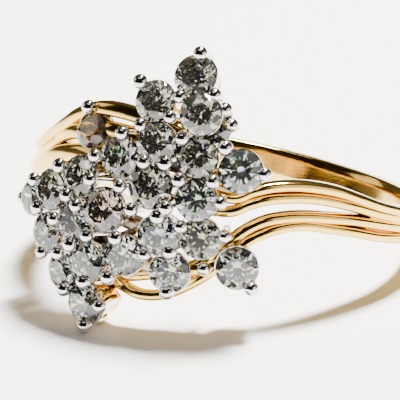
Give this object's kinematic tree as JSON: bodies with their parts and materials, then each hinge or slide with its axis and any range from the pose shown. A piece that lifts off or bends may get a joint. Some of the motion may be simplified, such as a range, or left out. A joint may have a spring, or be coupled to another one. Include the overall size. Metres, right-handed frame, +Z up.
{
  "type": "cluster ring",
  "caption": "Spray-shaped cluster ring in yellow gold with round clear stones in white beaded prongs and split, ribbed shoulders, lying on its side.",
  "frame": {"origin": "centre of the box's footprint on the surface the ring rests on", "axes": "+Z up from that surface, the cluster faces -Y, +X to its right"},
  "size_m": [0.0198, 0.0234, 0.0136],
  "materials": {
    "gold": "polished yellow gold with white rhodium on the prong tips",
    "diamond": "polished, faceted"
  },
  "bodies": {
    "root": {"mount": "gold", "stone_01": "diamond", "stone_02": "diamond", "stone_03": "diamond", "stone_04": "diamond", "stone_05": "diamond", "stone_06": "diamond", "stone_07": "diamond", "stone_08": "diamond", "stone_09": "diamond", "stone_10": "diamond", "stone_11": "diamond", "stone_12": "diamond", "stone_13": "diamond", "stone_14": "diamond", "stone_15": "diamond", "stone_16": "diamond", "stone_17": "diamond", "stone_18": "diamond", "stone_19": "diamond", "stone_20": "diamond", "stone_21": "diamond", "stone_22": "diamond", "stone_23": "diamond", "stone_24": "diamond", "stone_25": "diamond"}
  },
  "joints": []
}
